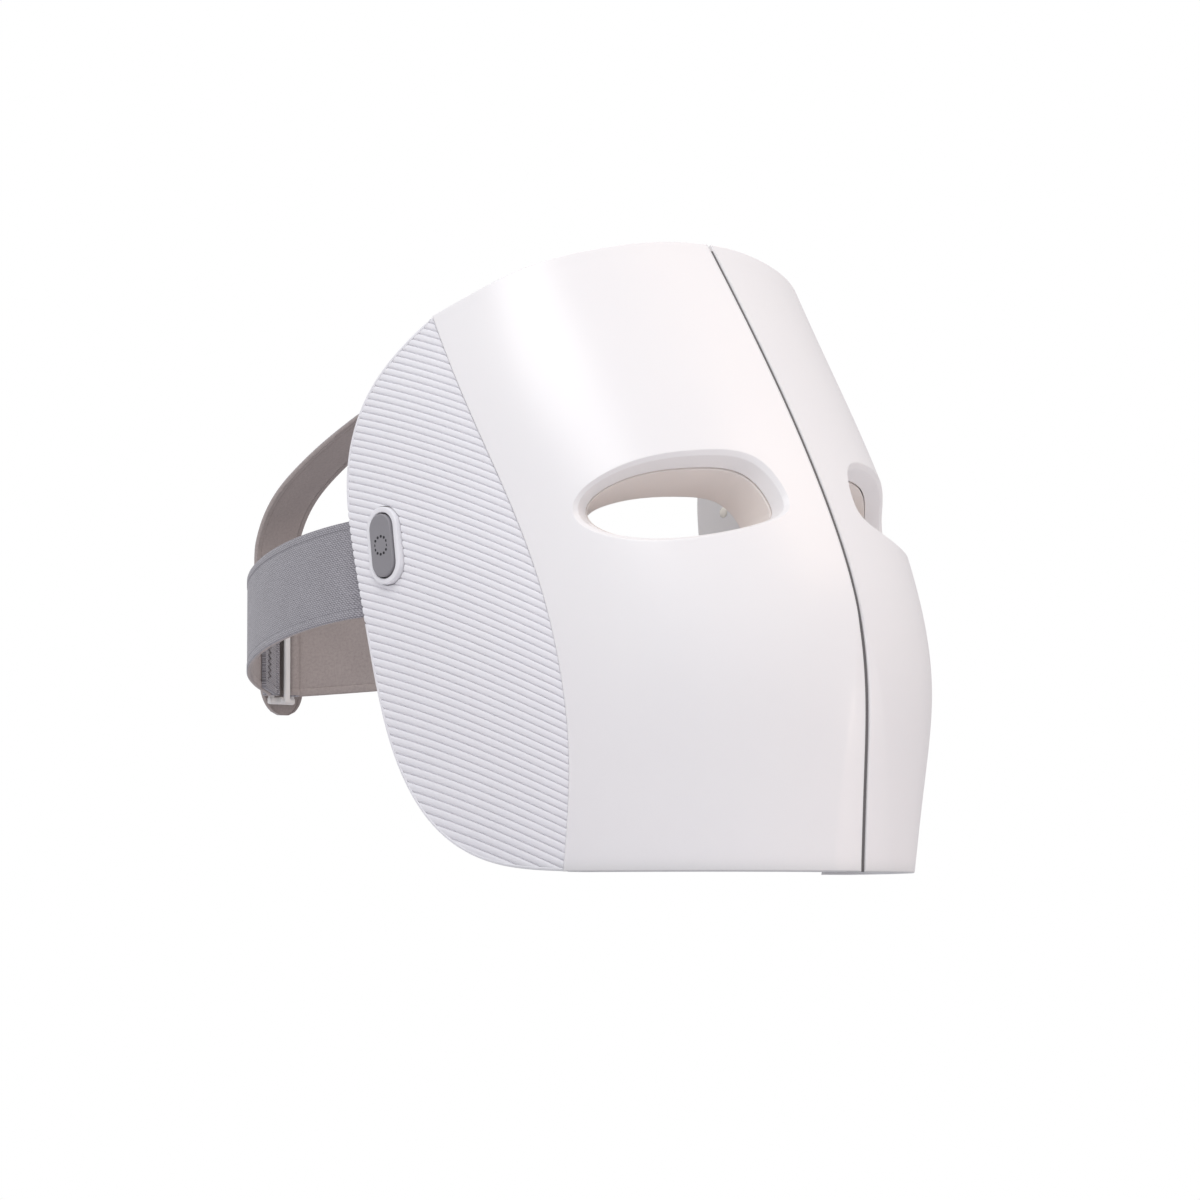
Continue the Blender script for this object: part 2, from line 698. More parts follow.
def pill(width, height, inset, steps=24):
    """A pill outline in side view, as places in y and z. Its top leans back with the rear edge."""
    radius, reach = width / 2 - inset, (height - width) / 2
    turns = np.linspace(0, math.pi, steps + 1)
    upper = np.stack([radius * np.cos(turns), reach + radius * np.sin(turns)], axis=-1)
    lean = math.radians(button_lean)
    turn = np.array([[math.cos(lean), -math.sin(lean)], [math.sin(lean), math.cos(lean)]])
    return np.vstack([upper, -upper]) @ turn


def pill_solid(width, height, face_x, profile, closed=False):
    """A pill-shaped solid that faces sideways, from pairs of inset and depth behind its face."""
    rings = []
    for inset, depth in profile:
        outline = pill(width, height, inset) + (button_y, button_z)
        rings.append(np.insert(outline, 0, face_x - depth, axis=1))
    return loft(rings, closed)


def evaluated_mesh(holder):
    """The plain mesh that an object's modifiers give."""
    bpy.context.view_layer.update()
    graph = bpy.context.evaluated_depsgraph_get()
    return bpy.data.meshes.new_from_object(holder.evaluated_get(graph))


def cut_out(shape, cutters):
    """The closed shape that is left once the cutters are taken out of it."""
    holders = []
    for points, faces in (shape, *cutters):
        mesh = bpy.data.meshes.new("cut")
        mesh.from_pydata(points.tolist(), [], [[int(v) for v in face] for face in faces])
        holders.append(put("cut", mesh))
    for cutter in holders[1:]:
        cut = holders[0].modifiers.new("cut", "BOOLEAN")
        cut.operation, cut.solver, cut.object = "DIFFERENCE", "MANIFOLD", cutter
    left = evaluated_mesh(holders[0])
    for holder in holders:
        bpy.data.objects.remove(holder)
    return np.array([v.co for v in left.vertices]), [list(f.vertices) for f in left.polygons]


panel_abs = moulded_abs("matt_white_abs_ribs", "#f0eff2", "#edecf0", 0.42)
hole_size = (ring_width + 2 * clearance, ring_height + 2 * clearance)
hole_depth, hole_overshoot = 14, 4
ring_hole = pill_solid(*hole_size, ring_face_x, [(0, hole_depth), (0, -hole_overshoot)])
panel_shapes = [
    cut_out(side_panel(), [ring_hole]),
    panel_rim(0.01, slot_top),
    panel_rim(slot_foot, 1),
]
new_pair("ribbed_panel", panel_shapes, panel_abs, "side_panel")

# The button rings and buttons
# A white ABS ring stands 0.5 mm proud of the ribs round a grey soft-touch pill button, which
# clicks 0.5 mm inwards. Twelve small black dots are printed in a circle on its face.
ring_profile = [
    (0, ring_thickness), (0, 0.55), (0.08, 0.25), (0.25, 0.08), (0.55, 0), (1.5, 0),
    (1.72, 0.07), (1.87, 0.25), (1.9, 0.5), (1.9, ring_thickness),
]
ring_shape = pill_solid(ring_width, ring_height, ring_face_x, ring_profile, closed=True)
new_pair("ring", [ring_shape], panel_abs, "button_ring")

button_face_x = ring_face_x + button_proud
button_profile = [
    (0, 2.6), (0, 0.6), (0.1, 0.3), (0.3, 0.1), (0.65, 0), (2.4, 0.1), (4.6, 0.14),
]
button_shape = pill_solid(button_width, button_height, button_face_x, button_profile)
stem_inner_x, stem_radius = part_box("button_left")[0].x / mm, 2
stem_outer_x = button_face_x - 2.3
stem_turns = full_turn(24)
stem_disc = np.column_stack([0 * stem_turns, np.cos(stem_turns), np.sin(stem_turns)])
stem_profile = (
    (stem_inner_x, stem_radius - 0.3), (stem_inner_x + 0.3, stem_radius),
    (stem_outer_x - 0.1, stem_radius), (stem_outer_x, stem_radius - 0.1),
)
stem = loft([stem_disc * radius + (x, button_y, button_z) for x, radius in stem_profile])


def new_tree(name, inputs):
    """A new geometry tree with these kinds of named inputs, and the inputs' sockets."""
    tree = bpy.data.node_groups.new(name, "GeometryNodeTree")
    for label, kind in inputs.items():
        tree.interface.new_socket(label, in_out="INPUT", socket_type="NodeSocket" + kind)
    tree.interface.new_socket("Geometry", in_out="OUTPUT", socket_type="NodeSocketGeometry")
    return tree, add_node(tree, "NodeGroupInput").outputs


def end_tree(tree, given, placed):
    """Makes a tree's instances real, gives them their finish and sends them out."""
    plain = add_node(tree, "GeometryNodeRealizeInstances", {"Geometry": placed})
    painting = {"Geometry": plain, "Material": given["Finish"]}
    painted = add_node(tree, "GeometryNodeSetMaterial", painting)
    add_node(tree, "NodeGroupOutput", {"Geometry": painted})
    return tree


def printed_dots():
    """A tree that sets small flat discs evenly on a circle."""
    lengths = {"Circle radius": "Float", "Dot radius": "Float", "Rise": "Float"}
    tree, given = new_tree("dot_circle", {"Dots": "Int", **lengths, "Finish": "Material"})
    ring = {"Vertices": given["Dots"], "Radius": given["Circle radius"]}
    circle = add_node(tree, "GeometryNodeMeshCircle", ring)
    disc = {"Vertices": 16, "Radius": given["Dot radius"], "Depth": given["Rise"]}
    dot = add_node(tree, "GeometryNodeMeshCylinder", disc)
    placed = add_node(tree, "GeometryNodeInstanceOnPoints", {"Points": circle, "Instance": dot})
    return end_tree(tree, given, placed)


def grown(name, tree, inputs, start_mesh=None):
    """The plain mesh that a tree gives with these named inputs."""
    carrier = put(name, start_mesh or bpy.data.meshes.new(name))
    made = carrier.modifiers.new("made", "NODES")
    made.node_group = tree
    for item in tree.interface.items_tree:
        if item.item_type == "SOCKET" and item.in_out == "INPUT" and item.name in inputs:
            made[item.identifier] = inputs[item.name]
    mesh = evaluated_mesh(carrier)
    carrier.modifiers.clear()
    carrier.data = mesh
    return carrier


def plain_finish(name, colour, roughness, **settings):
    """A finish without a pattern."""
    finish, tree, shader = new_finish(name)
    fill(tree, shader, {"Base Color": linear(colour), "Roughness": roughness})
    fill(tree, shader, {socket.replace("_", " "): value for socket, value in settings.items()})
    return finish


button_touch = moulded_abs("mid_grey_soft_touch_button", "#929094", "#8b898d", 0.5)
dot_sizes = {
    "Dots": 12, "Circle radius": 2.9 * mm, "Dot radius": 0.46 * mm, "Rise": 0.06 * mm,
    "Finish": plain_finish("black_pad_print", "#26252a", 0.5),
}
dot_depth = 0.11
dot_tree = printed_dots()
button_shapes = [button_shape, stem]
for side, name, body in ((1, "left", "mode_button"), (-1, "right", "power_button")):
    node = f"button_{name}"
    new_piece(f"{node}_cap", button_shapes, button_touch, [node], body)
    button_shapes = [mirrored(shape) for shape in button_shapes]
    dots = grown(f"{node}_dots", dot_tree, dot_sizes)
    place = Vector((side * (button_face_x - dot_depth), button_y, button_z)) * mm
    dots.data.transform(Matrix.Translation(place) @ Matrix.Rotation(math.pi / 2, 4, "Y"))
    settle(dots, (), body)

# The liner
# One smooth translucent white polycarbonate sheet, 2 mm thick, that follows the face behind the
# light boards. The lamps shine through rows of small round lenses moulded on its face side.
liner_wall, liner_edge_radius, face_gap = 2, 0.5, 0.7
cup_front_depth = eye_wall_depth + clearance
cup_step, cup_wall = 0.3, 1.6
cup_rim_depth, cup_rim_inset, cup_temple_flare = 23, 2.6, 0.042


def cup_inset(depth):
    """How far the cup's outer wall lies inside the eye's outline at a depth."""
    share = (depth - cup_front_depth) / (cup_rim_depth - cup_front_depth)
    start = eye_wall_inset + cup_step - cup_wall
    return start + (cup_rim_inset - start) * share


def eye_ring(depth, inset, steps=120):
    """One ring of the cup. It flares towards the temple with depth."""
    turns = np.arange(steps) / steps
    along, z = eye_place(turns, inset)
    share = np.clip((depth - cup_front_depth) / (cup_rim_depth - cup_front_depth), 0, 1)
    along = along + cup_temple_flare * share * np.clip(eye_across(turns), 0, 1) ** 2
    return below(along, z, depth)


def face_liner():
    rows, half_columns = 70, 60
    edge_y, edge_z = rear_edge(1 - np.arange(rows + 1) / rows)
    edge_along = along_at(1, edge_y, edge_z)[:, None]
    share = np.linspace(-1, 1, 2 * half_columns + 1)
    z = (skin_height * top_edge_share(np.abs(share)) * edge_z[:, None] / corner_z).ravel()
    along = (share * edge_along).ravel()
    normals = skin_normal(np.abs(along), z)
    normals[:, 0] *= np.where(along < 0, -1.0, 1.0)
    points, faces = below(along, z, liner_depth), grid_faces(rows, 2 * half_columns)
    points, faces = moulded_wall(points, normals, faces, liner_wall, liner_edge_radius)
    points[:, 2] = np.maximum(points[:, 2], 0)
    return points, faces


screw_seat_depth, screw_head_taper = 0.8, 0.72
screw_head_radius, screw_head_height = 2.6, 1.5
screw_z = skin_height * np.array([0.76, 0.06, 0.7, 0.2])
panel_screw_y = skin_front_y + skin_depth * np.array([0.83, 0.78])
screw_along = np.append([0.66, 0.6], along_at(1, panel_screw_y, screw_z[2:]))
screw_along, screw_z = np.append(screw_along, -screw_along), np.tile(screw_z, 2)


def screw_recess(along, z):
    """The round recess for one screw's head, as a solid to take out of the liner."""
    normal = unit(below(along, z, 0) - below(along, z, 1))
    circle = disc_across(normal, (0, 0, 1), 24) * (screw_head_radius + clearance)
    start = liner_depth + liner_wall - screw_seat_depth
    return loft([below(along, z, depth) + circle for depth in (start, start + 2 * liner_wall)])


liner_look = (0.22, 0.8, 0.01, 0.25)
liner_pc = moulded_abs("glossy_translucent_polycarbonate", "#eceae9", "#e6e3e2", *liner_look)
eye_hole = loft([eye_ring(depth, cup_inset(depth) - clearance) for depth in (4, 10, 16, 23)])
recesses = [screw_recess(*place) for place in zip(screw_along, screw_z)]
liner_shape = cut_out(face_liner(), [eye_hole, mirrored(eye_hole), *recesses])
new_piece("inner_liner", [liner_shape], liner_pc, ["face_liner"])

# The eye cups
# A tapered tube of soft beige-grey silicone in each eye opening keeps the light out. Its flange
# lies on the liner's face side.
flange_thickness = 1.6


def eye_cup():
    front, rim, rim_in = cup_front_depth, cup_rim_depth, cup_rim_inset
    seat = liner_depth + liner_wall + face_gap
    back = seat + flange_thickness
    front_in, seat_in, back_in = cup_inset(front), cup_inset(seat), cup_inset(back)
    profile = [
        (front + 0.2, front_in), (seat - 0.3, seat_in), (seat, seat_in - 0.4),
        (seat, seat_in - 4.0), (seat + 0.3, seat_in - 4.35), (seat + 0.8, seat_in - 4.4),
        (back - 0.3, seat_in - 4.25), (back, seat_in - 3.7), (back, back_in - 0.9),
        (back + 0.3, back_in - 0.2), (back + 0.9, back_in), (rim - 0.8, rim_in),
        (rim - 0.2, rim_in + 0.25), (rim, rim_in + 0.8), (rim - 0.2, rim_in + 1.35),
        (rim - 0.8, rim_in + cup_wall), (18, cup_inset(18) + cup_wall),
        (12, cup_inset(12) + cup_wall), (front + 0.15, front_in + cup_wall),
        (front, front_in + cup_wall - 0.15), (front, front_in + 0.2),
    ]
    return loft(np.stack([eye_ring(*place) for place in profile], axis=1), closed=True)


cup_look = (0.4, 0.6, 0.015, 0.3)
cup_silicone = moulded_abs("beige_grey_silicone", "#f0e8e3", "#e9e1dc", *cup_look)
new_pair("cup", [eye_cup()], cup_silicone, "eye_cup")

# The main head straps
# Grey twill elastic webbing, 32 mm wide with a hem along each edge. Each band is folded round
# a bar inside the side panel and round an upright of the rear buckle, and sewn on itself.
strap_thickness, bar_radius, loop_gap = 1.7, 1.1, 0.3
loop_middle = bar_radius + loop_gap + strap_thickness / 2
loop_outer = loop_middle + strap_thickness / 2
strap_rear_y = skin_rear_y + 129.1
anchor_y, anchor_depth = skin_rear_y - 12.1, 7.9
anchor_x = by_side(anchor_y, strap_start_z, anchor_depth)[0]
strap_half_reach = anchor_x + 2.6
strap_fall, strap_power, strap_step, hem = 19, 1.6, 1.4, 2.8
buckle_x, buckle_half_pitch = -2.2, 4.7
sewn_length, stitch_inset, stitch_thickness = 13, 4.5, 0.42


def run_lengths(points, power=1):
    """How far along a run each point lies. A power of a half gives a centripetal curve's knots."""
    gaps = np.linalg.norm(np.diff(points, axis=0), axis=1) ** power
    return np.concatenate([[0], np.cumsum(gaps)])


def smooth_path(points, spacing, fineness=24):
    """An even run of points on a centripetal curve through the given ones."""
    points = np.asarray(points, float)
    ends = np.vstack([2 * points[0] - points[1], points, 2 * points[-1] - points[-2]])
    fine = []
    for i in range(1, len(ends) - 2):
        group = ends[i - 1 : i + 3]
        knots = run_lengths(group, 0.5)
        t = np.linspace(knots[1], knots[2], fineness, endpoint=False)[:, None]
        mix = lambda a, b, ka, kb: ((kb - t) * a + (t - ka) * b) / (kb - ka)
        a = [mix(group[k], group[k + 1], knots[k], knots[k + 1]) for k in range(3)]
        b = [mix(a[k], a[k + 1], knots[k], knots[k + 2]) for k in range(2)]
        fine.append(mix(b[0], b[1], knots[1], knots[2]))
    fine = np.vstack([*fine, points[-1:]])
    travelled = run_lengths(fine)
    even = np.linspace(0, travelled[-1], int(travelled[-1] / spacing) + 2)
    places = [np.interp(even, travelled, fine[:, k]) for k in range(fine.shape[1])]
    return np.stack(places, axis=1), even


def strap_path(bar_x, samples=4000, stations=15):
    """One band's run in plan, from its bar in the side panel to the buckle's upright."""
    power, reach = 2 / strap_power, strap_rear_y - skin_rear_y

    def run(turns):
        x = strap_half_reach * np.cos(turns) ** power
        return np.stack([x, skin_rear_y + reach * np.sin(turns) ** power], axis=-1)

    turns = np.linspace(0, math.pi / 2, samples)
    last = turns[np.argmin(np.abs(run(turns)[:, 0] - bar_x - 2 * loop_outer))]
    places = [(anchor_x, anchor_y + loop_middle), *run(np.linspace(0, last, stations))]
    upright = np.array([bar_x, strap_rear_y])
    towards = places[-1] - upright
    places.append(upright + towards * loop_middle / np.linalg.norm(towards))
    return smooth_path(places, strap_step)


def band_section(width, thickness):
    """A band's cross section as places across it and out of it, and whether each place is on the
    outer face. Both faces have a sunk hem line near each edge."""
    half, thick, line_half, rise, sink = width / 2, thickness / 2, 0.4, 0.14, 0.16
    line = half - hem
    right = [line - line_half, line, line + line_half, half - 0.45]
    across = [-place for place in right[::-1]] + list(np.linspace(5 - half, half - 5, 9)) + right
    face = []
    for place in across:
        sunk = sink if abs(abs(place) - line) < 0.1 else 0
        folded = rise if abs(place) > line + 0.1 else 0
        face.append((place, thick - rise + folded - sunk))
    edge = [(half - 0.1, thick * 0.6), (half, 0), (half - 0.1, -thick * 0.6)]
    ring = face + edge + [(place, -out) for place, out in face[::-1]]
    ring += [(-place, out) for place, out in edge[::-1]]
    outer = [True] * (len(face) + 2) + [False] * (len(ring) - len(face) - 2)
    return ring, outer


def band(path, travelled, rise_at, section, start=0.0, end=None, offset=0.0):
    """A band along a path in plan: its closed shape, and each point's place along and across it
    with the face that it is on."""
    end = travelled[-1] if end is None else end
    keep = (travelled >= start) & (travelled <= end)
    run = unit(np.gradient(path, axis=0))
    rings, marks = [], []
    for (x, y), (run_x, run_y), gone in zip(path[keep], run[keep], travelled[keep]):
        ring = [(offset + out, rise_at(gone) + across) for across, out in section[0]]
        rings.append([(x + run_y * out, y - run_x * out, z) for out, z in ring])
        marks += [(gone, across, side) for (across, _), side in zip(*section)]
    return loft(rings), np.array(marks, float)


def strap_loop(centre, section, upright=True):
    """A band's fold round a bar that stands upright or lies across."""
    rings, marks = [], []
    for turn in full_turn(48):
        ring = [(loop_middle + out, across) for across, out in section[0]]
        rings.append([(math.cos(turn) * r, math.sin(turn) * r, across) for r, across in ring])
        marks += [(turn * loop_middle, across, side) for (across, _), side in zip(*section)]
    points, faces = loft(rings, closed=True)
    if not upright:
        points = points[:, [2, 0, 1]]
    return facing_out(points + np.array(centre), faces), np.array(marks, float)


def add_marks(piece, marks, lining):
    """Writes each point's place along and across its band, in metres, as the piece's UV map, and
    gives the faces of the inner side their lining."""
    marks = np.vstack(marks)
    layer = piece.data.uv_layers.new(name="band")
    corner_points = np.zeros(len(piece.data.loops), int)
    piece.data.loops.foreach_get("vertex_index", corner_points)
    layer.data.foreach_set("uv", (marks[corner_points, :2] * mm).astype(np.float32).ravel())
    piece.data.materials.append(lining)
    for face in piece.data.polygons:
        if not marks[list(face.vertices), 2].any():
            face.material_index = 1


def strap(name, bar_x, side, fall_power, fold, node):
    """One band on its side, whose rear end is doubled on its inner, -1, or outer face, 1."""
    path, travelled = strap_path(bar_x)
    length = travelled[-1]
    rise_at = lambda gone: strap_start_z - strap_fall * (gone / length) ** fall_power
    section = band_section(strap_width, strap_thickness)
    inner = band_section(strap_width - 0.5, strap_thickness)
    turned = (inner[0], [not outer for outer in inner[1]])
    loop = section if fold < 0 else (section[0], [not outer for outer in section[1]])
    run = (path, travelled, rise_at)
    pieces = [
        band(*run, section),
        band(*run, turned, 0, sewn_length, -strap_thickness),
        band(*run, turned, length - sewn_length, length, fold * strap_thickness),
        strap_loop((anchor_x, anchor_y, strap_start_z), section),
        strap_loop((bar_x, strap_rear_y, strap_start_z - strap_fall), loop),
    ]
    shapes = [shape if side > 0 else mirrored(shape) for shape, _ in pieces]
    made = new_piece(name, shapes, strap_twill, [node], crease=50)
    add_marks(made, [marks for _, marks in pieces], strap_lining)
    stitch_place = length - sewn_length + stitch_inset
    zigzag(name + "_stitches", path, travelled, rise_at, stitch_place, side, fold)


def zigzag(name, path, travelled, rise_at, gone, side, fold):
    """A bar of zigzag stitches across a band's doubled end, on its free face."""
    count, half_length, margin = 24, 1.3, hem + 1
    run = unit(np.gradient(path, axis=0))
    out = fold * 1.5 * strap_thickness
    places = []
    for i in range(count):
        at = gone + (half_length if i % 2 else -half_length)
        point = np.array([np.interp(at, travelled, path[:, k]) for k in (0, 1)])
        ahead = unit(np.array([np.interp(at, travelled, run[:, k]) for k in (0, 1)]))
        rise = (i + 0.5) / count * (strap_width - 2 * margin) - strap_width / 2 + margin
        x, y = point[0] + ahead[1] * out, point[1] - ahead[0] * out
        places.append((side * x, y, rise_at(at) + rise))
    places = np.array(places)
    facings = np.diff(places, axis=0)
    lap = 1.08
    sizes = {"Length": np.linalg.norm(facings[0]) * lap * mm, "Thickness": stitch_thickness * mm}
    middles = (places[:-1] + places[1:]) / 2
    stitched = on_points(name, stitch_tree, middles, facings, {**sizes, "Finish": thread})
    settle(stitched)


def on_points(name, tree, places, facings, inputs):
    """What a tree sets on these places, each turned to its facing."""
    mesh = bpy.data.meshes.new(name)
    mesh.from_pydata((np.array(places) * mm).tolist(), [], [])
    facing = mesh.attributes.new("facing", "FLOAT_VECTOR", "POINT")
    facing.data.foreach_set("vector", np.array(facings, np.float32).ravel())
    return grown(name, tree, inputs, mesh)


def set_on_places(tree, given, shape):
    """Sets a shape on each place that comes in, turned to its facing, and ends the tree."""
    facing = add_node(
        tree, "GeometryNodeInputNamedAttribute", {"Name": "facing"}, data_type="FLOAT_VECTOR"
    )
    turn = add_node(tree, "FunctionNodeAlignRotationToVector", {"Vector": facing}, axis="Z")
    inputs = {"Points": given["Geometry"], "Instance": shape, "Rotation": turn}
    return end_tree(tree, given, add_node(tree, "GeometryNodeInstanceOnPoints", inputs))


def stitch():
    """A tree that lays one short rounded thread at each place, along its facing."""
    inputs = {"Geometry": "Geometry", "Length": "Float", "Thickness": "Float"}
    tree, given = new_tree("zigzag_stitch", {**inputs, "Finish": "Material"})
    radius = maths(tree, "MULTIPLY", given["Thickness"], 0.5)
    sizes = {"Vertices": 6, "Radius": radius, "Depth": given["Length"]}
    return set_on_places(tree, given, add_node(tree, "GeometryNodeMeshCylinder", sizes))


stitch_tree = stitch()
thread = plain_finish("grey_polyester_thread", "#7b787a", 0.7)


# Twill-woven polyester and elastane: grey yarns with lighter flecks, whose diagonal ribs lie
# about 0.5 mm apart. They are drawn 0.85 mm apart so that they show, with a soft fibre sheen. The
# lining on the side of the head is a brushed warm grey knit, smooth apart from its fine pile.
def woven(name, colour, light, dark, pitch, strength, sheen, twill_degrees=52):
    finish, tree, shader = new_finish(name)
    place = add_node(tree, "ShaderNodeUVMap", uv_map="band")
    twist = {"Vector": place, "Rotation": (0, 0, math.radians(twill_degrees))}
    turned = add_node(tree, "ShaderNodeMapping", twist)
    per_wave = math.pi / 10
    wave = {"Vector": turned, "Scale": per_wave / (pitch * mm), "Distortion": 0.8}
    diagonal = add_node(tree, "ShaderNodeTexWave", wave, wave_type="BANDS").outputs["Fac"]
    wave = {"Vector": place, "Scale": per_wave / (pitch * 0.8 * mm), "Distortion": 0.6}
    yarn = add_node(tree, "ShaderNodeTexWave", wave, wave_type="BANDS", bands_direction="Y")
    crossed = maths(tree, "MULTIPLY", diagonal, yarn.outputs["Fac"])
    flecks = noise(tree, place, size=0.9, detail=4.0, roughness=0.7)
    cloud = noise(tree, place, size=12, detail=3.0)
    weave = maths(tree, "MULTIPLY_ADD", crossed, strength, flecks)
    tint = add_node(tree, "ShaderNodeValToRGB", {"Fac": weave})
    ramp = tint.color_ramp.elements
    ramp[0].position, ramp[0].color = 0.3, linear(dark)
    ramp[1].position, ramp[1].color = 1.0, linear(light)
    ramp.new(0.58).color = linear(colour)
    value = add_node(tree, "ShaderNodeMapRange", {"Value": cloud, "To Min": 0.88, "To Max": 1.1})
    shaded = add_node(tree, "ShaderNodeHueSaturation", {"Color": tint, "Value": value})
    relief = {"Height": weave, "Strength": strength, "Distance": 0.15 * mm}
    raised = add_node(tree, "ShaderNodeBump", relief)
    fill(tree, shader, {"Base Color": shaded, "Normal": raised, "Roughness": 0.85})
    fill(tree, shader, {"Sheen Weight": sheen, "Sheen Roughness": 0.5})
    return finish


strap_twill = woven("grey_twill_elastic", "#8c8a90", "#b6b4ba", "#605e64", 0.85, 0.8, 0.3)
strap_lining = woven("brushed_warm_grey_lining", "#aca29f", "#b7adaa", "#9d9390", 0.5, 0.12, 0.2)
strap("band_left", buckle_half_pitch + buckle_x, 1, 0.7, 1, "strap_left")
strap("band_right", buckle_half_pitch - buckle_x, -1, 1.3, -1, "strap_right")

# The rear buckle
# A small white acetal ladder buckle: two round uprights between flat rails with soft corners.
def rod(radius, start, end, steps=20, rounding=0.25):
    """A round bar between two places, with softened ends."""
    start, end = np.array(start, float), np.array(end, float)
    axis = unit(end - start)
    disc = disc_across(axis, (0.3, 0.5, 0.81), steps)
    places = [
        (start, radius - rounding), (start + axis * rounding, radius),
        (end - axis * rounding, radius), (end, radius - rounding),
    ]
    return loft([centre + disc * size for centre, size in places])


def soft_box(centre, size, rounding):
    """A box with rounded corners in plan along its longest side and soft ends."""
    half = np.array(size, float) / 2
    turns = np.radians([0, 30, 60, 90])
    ring = []
    for signs, way in (((1, 1), 1), ((-1, 1), -1), ((-1, -1), 1), ((1, -1), -1)):
        circle = np.stack([np.cos(turns), np.sin(turns)], axis=-1)[::way]
        ring.append(signs * (half[1:] - rounding + rounding * circle))
    ring = np.vstack(ring)
    ends = ((-half[0], 0.75), (rounding - half[0], 1), (half[0] - rounding, 1), (half[0], 0.75))
    return loft([np.insert(ring * shrink, 0, x, axis=1) + centre for x, shrink in ends])


buckle_middle_z = strap_start_z - strap_fall
buckle_rail, rail_thickness = 2.6, 2.2
buckle_reach = strap_width / 2 + clearance + buckle_rail
bar_reach = buckle_reach - buckle_rail / 2
rail_size = (2 * (buckle_half_pitch + bar_radius), rail_thickness, buckle_rail)
guard_x, guard_y = buckle_x - 0.5, strap_rear_y - 3.6
guard_width, guard_thickness, guard_reach = 2.4, 1.3, buckle_reach - 0.5
arm_length, arm_height, arm_shift = 3.9, 1.6, 1.6
rails, uprights, arms = [], [], []
for side in (-1, 1):
    rail_centre = (buckle_x, strap_rear_y, buckle_middle_z + side * bar_reach)
    rails.append(soft_box(rail_centre, rail_size, 0.6))
    x = buckle_x + side * buckle_half_pitch
    ends = [(x, strap_rear_y, buckle_middle_z + reach) for reach in (-bar_reach, bar_reach)]
    uprights.append(rod(bar_radius, *ends))
    points, faces = soft_box((0, 0, 0), (arm_length, guard_width, arm_height), 0.4)
    arm_z = buckle_middle_z + side * (guard_reach - arm_height / 2)
    points = points[:, [1, 0, 2]] + (guard_x, guard_y + arm_shift, arm_z)
    arms.append(facing_out(points, faces))
points, faces = soft_box((0, 0, 0), (2 * guard_reach, guard_width, guard_thickness), 0.45)
guard_bar = facing_out(points[:, [1, 2, 0]] + (guard_x, guard_y, buckle_middle_z), faces)
buckle_shapes = [*rails, *uprights, guard_bar, *arms]
buckle_acetal = moulded_abs("white_acetal_buckle", "#f2f0ee", "#eceae8", 0.3)
new_piece("buckle", buckle_shapes, buckle_acetal, ["rear_buckle"])

# The crown strap
# The same webbing, 25 mm wide, sewn round a bar inside the forehead. It runs over the crown and
# down behind the buckle, where it narrows to 20 mm, and ends in a rounded pull tab.
crown_width, tab_radius, crown_step = 25, 11, 1.2
crown_top_z = skin_height * 0.9048
crown_bar = np.array([0, skin_front_y + skin_depth * 0.5874, skin_height * 0.879])
crown_rear_shares = [0.12, 0.345, 0.615, 0.85, 0.95, 0.99, 1, 1, 1, 1]
crown_height_shares = [1, 0.965, 0.885, 0.775, 0.7, 0.63, 0.55, 0.47, 0.39, 0.305]
crown_rear_y = strap_rear_y + loop_outer + clearance + strap_thickness / 2
crown_narrowing = ((0, 0.25, 0.6, 1), (1, 1, 0.8, 0.8))
crown_lean = ((0, 0.25, 0.6, 0.78, 1), (0, 0, -2.5, -2, 2.5))


def crown_strap():
    """The strap's run over the head with its rounded tab, and its fold round the bar."""
    places = [
        (crown_bar[1] + (crown_rear_y - crown_bar[1]) * share, crown_top_z * height)
        for share, height in zip(crown_rear_shares, crown_height_shares)
    ]
    out = np.array(places[0]) - crown_bar[1:]
    places.insert(0, tuple(crown_bar[1:] + out * loop_middle / np.linalg.norm(out)))
    path, travelled = smooth_path(places, crown_step)
    run = unit(np.gradient(path, axis=0))
    section = band_section(crown_width, strap_thickness)
    rings, marks = [], []
    for (y, z), (run_y, run_z), gone in zip(path, run, travelled):
        into = np.clip((gone - travelled[-1] + tab_radius) / tab_radius, 0, 0.995)
        squeeze = 1 - tab_radius * (1 - math.sqrt(1 - into**2)) / (crown_width / 2)
        squeeze *= np.interp(gone / travelled[-1], *crown_narrowing)
        lean = np.interp(gone / travelled[-1], *crown_lean)
        rings.append([(lean + a * squeeze, y - run_z * t, z + run_y * t) for a, t in section[0]])
        marks += [(gone, a * squeeze, side) for (a, _), side in zip(*section)]
    fold, fold_marks = strap_loop(crown_bar, section, upright=False)
    return [loft(np.array(rings)), fold], [np.array(marks, float), fold_marks]


crown_shapes, crown_marks = crown_strap()
crown_piece = new_piece(
    "crown_band", crown_shapes, strap_twill, ["crown_strap"], crease=50
)
add_marks(crown_piece, crown_marks, strap_lining)

# The soft pads
# Three cushions of soft grey silicone foam, welded round their edges, that are glued to the
# liner's face side: one across the forehead and one under each cheekbone.
pad_thickness, pad_corner_power, pad_seat_gap = 4.5, 5, 0.05


